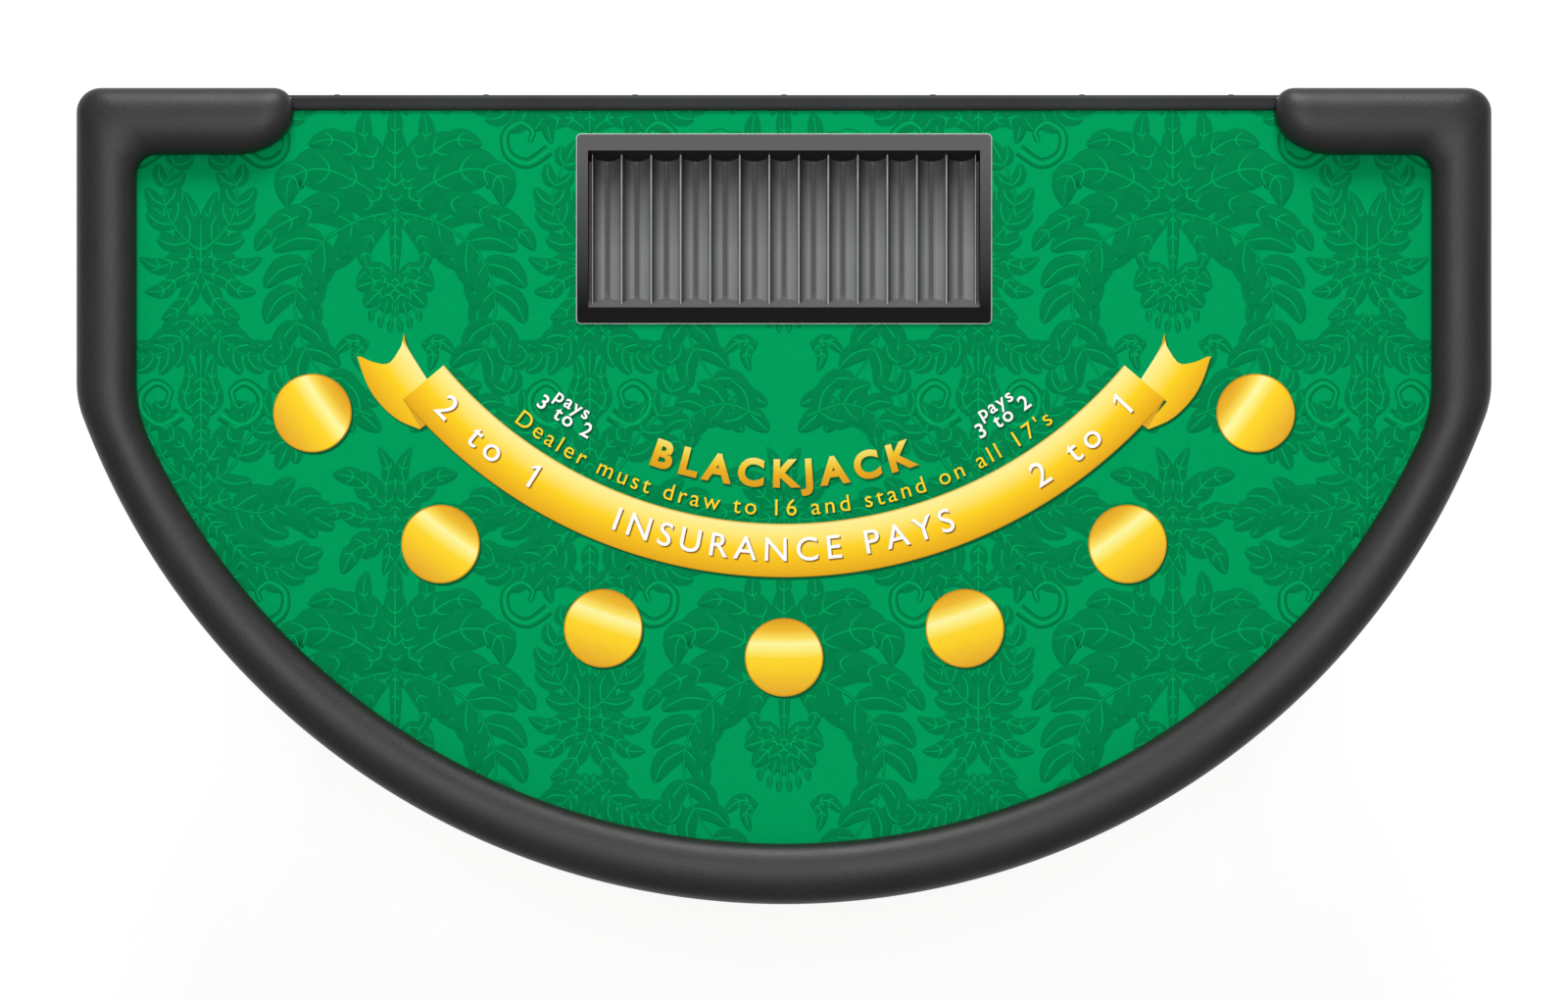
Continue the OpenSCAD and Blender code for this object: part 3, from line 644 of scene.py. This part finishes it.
def sector(name, r0, r1, a0, a1, n, rings, finish, lift=0.0, shift=(0.0, 0.0)):
    """A band of print between two radii and two angles."""
    verts = [polar(r0 + (r1 - r0) * k / rings, a0 + (a1 - a0) * i / n, lift)
             for i in range(n + 1) for k in range(rings + 1)]
    verts = [(x + shift[0], y + shift[1], z) for x, y, z in verts]
    w = rings + 1
    made = piece(name, verts, [(i * w + k, i * w + k + 1, (i + 1) * w + k + 1, (i + 1) * w + k)
                               for i in range(n) for k in range(rings)], finish, "table_top")
    return made


def spot(name, centre, r, finish, lift=0.0, n=72, rings=8):
    """A round print, as rings about its middle."""
    verts = [(centre[0], centre[1], PRINT_Z + lift)]
    for ring in range(1, rings + 1):
        verts += [(x, y, PRINT_Z + lift) for x, y in arc(centre, r * ring / rings, 0, 360, n)[:-1]]
    faces = [(0, 1 + i, 1 + (i + 1) % n) for i in range(n)]
    for k in range(rings - 1):
        near, far = 1 + k * n, 1 + (k + 1) * n
        faces += [(near + i, far + i, far + (i + 1) % n, near + (i + 1) % n) for i in range(n)]
    made = piece(name, verts, faces, finish, "table_top")
    return made


SHADOW = (0.0026, -0.0032)
SPOT_R, SPOT_ARC, SPOT_STEP, SPOT_RIM = 0.0578, 0.851, 18.25, 0.0018
gold = ink_finish("gold_spot_ink", GOLD_RAMP, SPOT_ARC - SPOT_R, SPOT_ARC + SPOT_R)
gold_rim = ink_finish("gold_rim_ink", ((0.0, "C98A10"), (1.0, "DDA21A")), 0.79, 0.91)
shade_ink = ink_finish("shadow_ink", ((0.0, "00592F"), (1.0, "005B31")))
for i in range(-3, 4):
    x, y, _ = polar(SPOT_ARC, SPOT_STEP * i)
    label = "abcdefg"[i + 3]
    spot("spot_shadow_" + label, (x + SHADOW[0], y + SHADOW[1]), SPOT_R, shade_ink, -0.0004)
    spot("spot_rim_" + label, (x, y), SPOT_R, gold_rim, -0.0002)
    spot("spot_" + label, (x, y), SPOT_R - SPOT_RIM, gold)

RIBBON = (0.6543, 0.7330)
ribbon_ink = ink_finish("gold_ribbon_ink", RIBBON_RAMP, *RIBBON)
tail_ink = ink_finish("gold_tail_ink", RIBBON_RAMP, 0.680, 0.768)
fold_ink = ink_finish("gold_fold_ink", ((0.0, "D6A024"), (1.0, "EBBB38")), 0.73, 0.78)
fold_edge = ((-0.561, 0.143), (-0.5355, 0.0995), (-0.5285, 0.1046), (-0.530, 0.120))
tail_edge = (through([(-0.629, 0.206), (-0.616, 0.168), (-0.598, 0.139), (-0.570, 0.113),
                      (-0.537, 0.0985)], 14)
             + through([(-0.5285, 0.1046), (-0.520, 0.150), (-0.527, 0.174)], 4)
             + through([(-0.545, 0.202), (-0.556, 0.222), (-0.560, 0.2395)], 5)
             + through([(-0.564, 0.221), (-0.5815, 0.196), (-0.604, 0.197), (-0.623, 0.205)], 10))
for side, label in ((1, "left"), (-1, "right")):
    edge, fold = ([(side * x, y) for x, y in points] for points in (tail_edge, fold_edge))
    flat_shadow = [(x + SHADOW[0], y + SHADOW[1]) for x, y in edge]
    for name, loop, finish, lift in (("ribbon_tail_shadow_", flat_shadow, shade_ink, -0.0006),
                                     ("ribbon_tail_", edge, tail_ink, -0.0004),
                                     ("ribbon_fold_", fold, fold_ink, -0.0002)):
        filled(name + label, [loop], PRINT_Z + lift, finish, "table_top")
RIBBON_SPAN = (-50, 50)
sector("ribbon_shadow", *RIBBON, *RIBBON_SPAN, 90, 4, shade_ink, -0.0003, SHADOW)
sector("ribbon_band", *RIBBON, *RIBBON_SPAN, 90, 8, ribbon_ink)
CAP_OF_FACE = 0.729
WORD_SHADOW, SHADOW_LIFT, WORD_LIFT = (0.0019, -0.0021), 0.0003, 0.0006


def lettering(name, words, cap, baseline, a0, a1, finish, shadow, bold=0.0, stretch=1.0):
    """Words bent along an arc from angle a0 to a1, letters' tops towards the arc's centre.

    cap is the height of a capital. The space between letters is set so that the words fill the arc.
    """
    text = bpy.data.curves.new(name, "FONT")
    text.body, text.resolution_u, text.offset = words, 5, bold
    holder = bpy.data.objects.new(name, text)
    bpy.context.collection.objects.link(holder)

    def flat_mesh():
        bpy.context.view_layer.update()
        shaped = holder.evaluated_get(bpy.context.evaluated_depsgraph_get())
        return bpy.data.meshes.new_from_object(shaped)

    def reach(mesh):
        xs = [v.co.x for v in mesh.vertices]
        return min(xs), max(xs)

    scale, mid_radius, mid_angle = cap / CAP_OF_FACE, baseline - cap * 0.5, (a0 + a1) / 2
    wanted = math.radians(a1 - a0) * mid_radius / (scale * stretch)
    widths = []
    for spacing in (1.0, 1.5):
        text.space_character = spacing
        low, high = reach(flat_mesh())
        widths.append(high - low)
    if len(words) > 1:
        text.space_character = 1.0 + 0.5 * (wanted - widths[0]) / (widths[1] - widths[0])
    mesh = flat_mesh()
    bpy.data.objects.remove(holder)
    low, high = reach(mesh)
    flat = [((v.co.x - (low + high) / 2) * scale * stretch, v.co.y * scale) for v in mesh.vertices]
    faces = [tuple(p.vertices) for p in mesh.polygons]
    for label, used_finish, lift, shift in (("_shadow", shadow, SHADOW_LIFT, WORD_SHADOW),
                                            ("", finish, WORD_LIFT, (0, 0))):
        verts = []
        for x, y in flat:
            px, py, pz = polar(baseline - y, mid_angle + math.degrees(x / mid_radius), lift)
            verts.append((px + shift[0], py + shift[1], pz))
        piece(name + label, verts, faces, used_finish, "table_top", smooth=False)


white_ink = ink_finish("white_ink", ((0.0, "FDFDF8"), (1.0, "FFFFFF")))
yellow_ink = ink_finish("yellow_ink", ((0.0, "FFE13A"), (1.0, "FFD51E")), 0.61, 0.65)
title_ink = ink_finish("gold_title_ink", ((0.0, "F6E67A"), (0.3, "F2CE3C"), (0.6, "E9AF22"), (1.0, "DE9F1C")),
                       0.559, 0.600)
brown_ink = ink_finish("ribbon_shadow_ink", ((0.0, "A87410"), (1.0, "96640C")))
ribbon_pair, cloth_pair = (white_ink, brown_ink), (white_ink, shade_ink)
lettering("word_insurance_pays", "INSURANCE PAYS", 0.0362, 0.709, -21.0, 21.0, *ribbon_pair, bold=0.004)
lettering("word_rule", "Dealer must draw to 16 and stand on all 17's", 0.0252, 0.642, -38.2, 38.2,
          yellow_ink, shade_ink)
lettering("word_blackjack", "BLACKJACK", 0.040, 0.599, -19.3, 19.3, title_ink, shade_ink, bold=0.042)
FLAGGED_ONE = ((-0.14, 0.70), (-0.14, 0.81), (0.08, 1.0), (0.19, 1.0), (0.19, 0.0), (0.05, 0.0),
               (0.05, 0.84))
ONE_CAP, ONE_BASELINE, ONE_RADIUS = 0.0362, 0.709, 0.69
for label, at in (("left", (-45.8, -39.3, -32.6)), ("right", (33.0, 39.4, 46.0))):
    for word, middle, half in (("2", at[0], 1.05), ("to", at[1], 2.25)):
        lettering("word_%s_%s" % (word, label), word, 0.038, 0.710, middle - half, middle + half,
                  *ribbon_pair, bold=0.003)
    bent = [polar(ONE_BASELINE - ONE_CAP * y, at[2] + math.degrees(ONE_CAP * x / ONE_RADIUS))
            for x, y in FLAGGED_ONE]
    for suffix, finish, lift, shift in (("_shadow", brown_ink, SHADOW_LIFT, WORD_SHADOW),
                                        ("", white_ink, WORD_LIFT, (0, 0))):
        loop = [(x + shift[0], y + shift[1]) for x, y, _ in bent]
        filled("word_1_" + label + suffix, [loop], PRINT_Z + lift, finish, "table_top")
for label, at in (("left", -33), ("right", 33)):
    lettering("word_pays_" + label, "pays", 0.0205, 0.580, at - 2.8, at + 2.8, *cloth_pair, bold=0.014)
    lettering("word_three_to_two_" + label, "3 to 2", 0.0222, 0.603, at - 4.3, at + 4.3, *cloth_pair,
              bold=0.014)

# Edge strip on the dealer's side: folded steel in satin black powder coat, screwed
# into the deck's edge so that the cloth is trapped under its flange.
powder = Finish("satin_powder_coat", Roughness=0.5, Specular_IOR_Level=0.2)
speck = powder.noise(420.0, 3)
wear = powder.noise(6.0, 4)
powder.feed("Base Color", powder.ramp(wear, (0.3, ink("202122")), (0.8, ink("2E3031"))))
powder.feed("Roughness", 0.42 + speck * 0.2).bump(speck, 0.00008)
dress(["dealer_trim", "trim_screws"], powder, 0.0006)

# Perimeter boards: dark stained hardwood under the deck, glued at the joints and
# backed by softwood blocks, with battens round the tray's opening.
stained = Finish("dark_stained_board", Roughness=0.45, Coat_Weight=0.25, Coat_Roughness=0.3)
streak = stained.noise(5.0, 7, stained.scaled(1.2, 1.2, 26), 0.65)
pore = stained.noise(60.0, 3, stained.scaled(0.6, 0.6, 9))
stained.feed("Base Color", stained.ramp(streak * 0.7 + pore * 0.3,
                                        (0.35, ink("1C120C")), (0.7, ink("43291A"))))
stained.feed("Roughness", 0.38 + streak * 0.2).bump(pore, 0.0002)
dress(["apron_" + place for place in ("back", "left", "right", "front_left", "front_centre", "front_right")],
      stained, 0.0012)
softwood = Finish("planed_softwood", Roughness=0.7)
rings = softwood.noise(4.0, 5, softwood.scaled(2, 14, 18), 0.6)
softwood.feed("Base Color", softwood.ramp(rings, (0.35, ink("A87B46")), (0.7, ink("D6AE75"))))
softwood.feed("Roughness", 0.6 + rings * 0.2).bump(rings, 0.0002)
dress(["apron_blocks", "well_frame"], softwood, 0.001)

# Chip tray: a folded steel pan with a flanged bezel that rests on the cloth, a bright
# bare edge, and a bank of rolled tubes between two sloped end plates.
TRAY_BACK, TRAY_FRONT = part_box("tray_bezel")[1][1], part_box("tray_bezel")[0][1]


def tray_finish_painted_light(name, back, front, **fixed):
    """Satin coat with painted light and shade: its grey runs from one value at the dealer's end to another at
    the players' end.
    """
    made = Finish(name, **fixed)
    across = made.add("SeparateXYZ", {}, {0: made.place}, out="Y")
    along = (TRAY_BACK - across) / (TRAY_BACK - TRAY_FRONT)
    fleck = made.noise(500.0, 3)
    # Painted light and shade: the grey gets lighter or darker along the tray, as light and shadow would fall
    # across it.
    painted_light_greys = made.ramp(along, (0.08, ink(back)), (0.92, ink(front)))
    made.feed("Base Color", made.mix(fleck * 0.2, painted_light_greys, ink(front)))
    return made.feed("Roughness", 0.4 + fleck * 0.15).bump(fleck, 0.00006)


# Bezel: painted light at the dealer's end, fading to painted shade at the players' end.
bezel_coat_painted_light = tray_finish_painted_light("graphite_bezel_coat_painted_light", "626263", "0B0B0B", Specular_IOR_Level=0.06)
dress(["tray_bezel"], bezel_coat_painted_light, 0.0012)
# Pan and back end plate: painted shade, near black at the dealer's end where the wall's shadow falls, lighter
# towards the players.
pan_coat_painted_shade = tray_finish_painted_light("graphite_pan_coat_painted_shade", "0C0C0D", "3A3A3B")
dress(["tray_pan", "tray_end_back"], pan_coat_painted_shade, 0.0004)
# Front end plate: a lighter copy of the pan's grey, painted as if lit.
ledge_coat_painted_light = tray_finish_painted_light("graphite_ledge_coat_painted_light", "3A3A3B", "5E5E60")
dress(["tray_end_front"], ledge_coat_painted_light, 0.0004)
bright = Finish("bare_bright_edge", Metallic=0.3, Roughness=0.4)
brushed = bright.noise(30.0, 4, bright.scaled(4, 4, 60))
bright.feed("Base Color", bright.ramp(brushed, (0.3, ink("A4A6A6")), (0.7, ink("BCBEBE"))))
bright.feed("Roughness", 0.35 + brushed * 0.15)
dress(["tray_bezel_lip"], bright, 0.0003)
TUBE_PITCH, TUBE_CREST = 0.0436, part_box("chip_tubes")[1][2]
# The tubes' colour carries painted light and shade, set by place across and along the bank.
rolled = Finish("satin_grey_tube_painted_light", Metallic=0.2, Roughness=0.4)
spot_x = rolled.add("SeparateXYZ", {}, {0: rolled.place}, out="X")
spot_y, spot_z = (Value(rolled, spot_x.socket.node.outputs[axis]) for axis in ("Y", "Z"))
along = (TRAY_BACK - spot_y) / (TRAY_BACK - TRAY_FRONT)
across = (spot_x / TUBE_PITCH + 50.5).math("FRACT")  # 50 whole pitches keep it positive
lengthwise = rolled.noise(60.0, 4, rolled.scaled(14, 0.4, 14), 0.6)
# Painted shade across each trough: dark beside each divider and along the middle groove, lighter on the
# slopes between.
painted_trough_shade_stops = ((0.0, "202021"), (0.2, "767878"), (0.34, "8E9090"), (0.46, "444546"), (0.54, "444546"),
                (0.66, "8C8E8E"), (0.9, "9A9C9C"), (1.0, "808282"))
painted_trough_shade = rolled.ramp(across, *[(at, ink(code)) for at, code in painted_trough_shade_stops])
# Painted shadow: the troughs darken towards the dealer's end, where the tray's wall would shade them.
painted_wall_shadow = rolled.ramp(along, (0.1, (0.75, 0.75, 0.75, 1.0)), (0.62, (0.0, 0.0, 0.0, 1.0)))
tubes_with_painted_shadow = rolled.mix(painted_wall_shadow, painted_trough_shade, ink("242425"))
# Painted highlight: a pale grey band along the top of each divider.
painted_crest_highlight = ((spot_z - TUBE_CREST + 0.004) / 0.003).math("MINIMUM", 1.0).math("MAXIMUM", 0.0)
rolled.feed("Base Color", rolled.mix(painted_crest_highlight, tubes_with_painted_shadow, ink("A6A8A8")))
rolled.feed("Roughness", 0.34 + lengthwise * 0.2).bump(lengthwise, 0.00004)
dress(["chip_tubes"], rolled, 0.0003)

# Leg frames: welded steel tube in textured black powder coat, turning in hinge blocks
# screwed to the deck. Plastic plugs close the tubes and rubber cups shoe the posts.
sides = ("left_", "right_")
coat = Finish("textured_black_powder", Roughness=0.5)
orange_peel = coat.noise(380.0, 3)
rub = coat.noise(9.0, 5)
coat.feed("Base Color", coat.ramp(rub, (0.35, ink("141415")), (0.75, ink("232426"))))
coat.feed("Roughness", 0.4 + orange_peel * 0.25).bump(orange_peel, 0.00012)
for part in ("hinge_blocks", "hinge_tube", "front_post", "back_post", "stay_bar", "foot_bar", "stay_lug"):
    dress([side + part for side in sides], coat, 0.0008)
moulded = Finish("moulded_black_plastic", Roughness=0.4)
skin = moulded.noise(300.0, 2)
moulded.feed("Base Color", moulded.ramp(skin, (0.3, ink("121212")), (0.8, ink("1C1C1D")))).bump(skin, 0.00008)
dress([side + "tube_plugs" for side in sides], moulded, 0.001)
shoe = Finish("moulded_rubber", Roughness=0.8)
scuff = shoe.noise(40.0, 5)
shoe.feed("Base Color", shoe.ramp(scuff, (0.35, ink("171717")), (0.8, ink("2C2B2A"))))
shoe.feed("Roughness", 0.7 + scuff * 0.2).bump(scuff, 0.0003)
dress([side + "feet" for side in sides], shoe, 0.002)

# Folding stays, screws and bolts: zinc-plated steel, with the faint blotches of the bath.
zinc = Finish("bright_zinc", Metallic=1.0, Roughness=0.35)
bath = zinc.add("TexVoronoi", {"feature": "F1"}, {"Vector": zinc.place, "Scale": 190.0}, out="Color")
spangle = zinc.add("RGBToBW", {}, {0: bath})
zinc.feed("Base Color", zinc.ramp(spangle, (0.2, ink("BCBDBA")), (0.8, ink("CBCCC9"))))
zinc.feed("Roughness", 0.33 + spangle * 0.05)
for part in ("bracket_screws", "stay_bracket", "stay_top_pin", "stay_bottom_pin", "upper_stay",
             "elbow_rivet", "lower_stay"):
    dress([side + part for side in sides], zinc, 0.0004)
dress(["rail_bolts", "rail_washers"], zinc, 0.0004)
